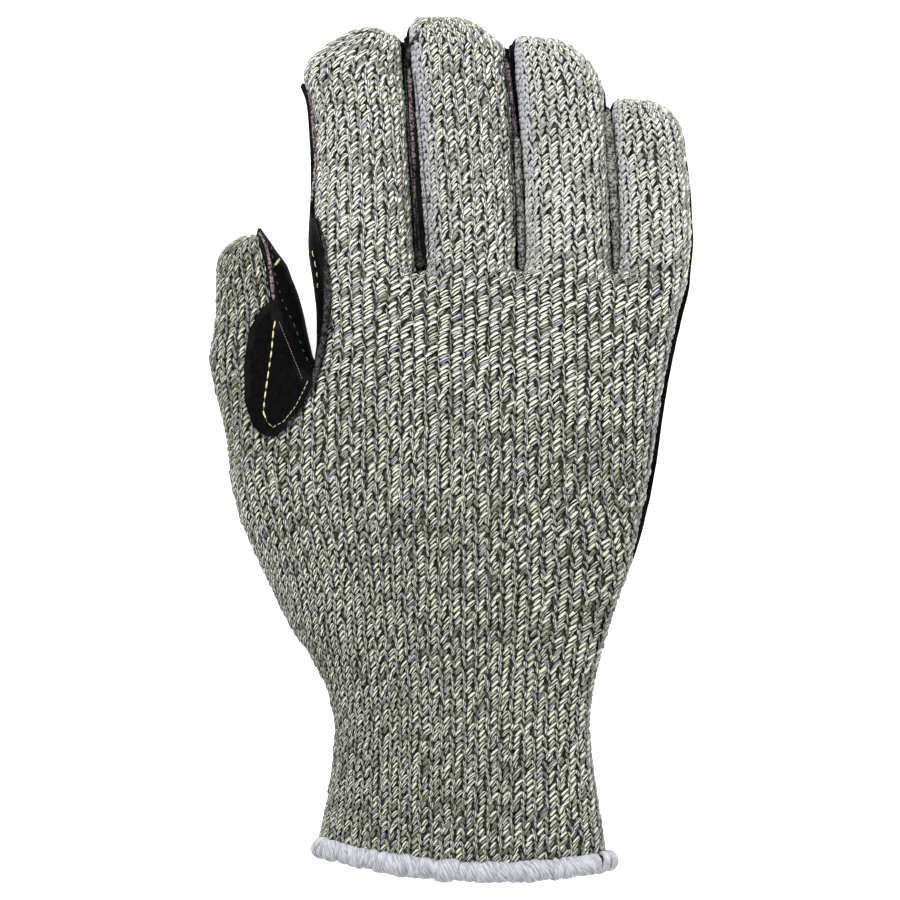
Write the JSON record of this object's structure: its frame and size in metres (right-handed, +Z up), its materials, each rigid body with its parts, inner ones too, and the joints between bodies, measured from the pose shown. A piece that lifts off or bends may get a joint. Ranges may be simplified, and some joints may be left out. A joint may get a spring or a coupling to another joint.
{
  "type": "leather palm work glove",
  "caption": "Right-hand work glove: seamless marled knit, hollow and open at the cuff, with a black leather palm, thumb and crotch patch and a white overlocked hem.",
  "frame": {"origin": "bottom centre of the bounding box, on the surface that the palm lies on", "axes": "+X away from the thumb, +Y to the fingertips, +Z up out of the back of the hand"},
  "size_m": [0.1396, 0.2499, 0.0316],
  "materials": {
    "marled_knit": "marled yarn of pale yellow-green, black, lavender-white and grey plies, knitted",
    "hem_yarn": "white bulky yarn, overlocked",
    "black_leather": "matt black split leather"
  },
  "bodies": {
    "root": {"knit_shell": "marled_knit", "cuff_hem": "hem_yarn", "palm_leather": "black_leather", "thumb_leather": "black_leather", "crotch_patch": "black_leather"}
  },
  "joints": []
}
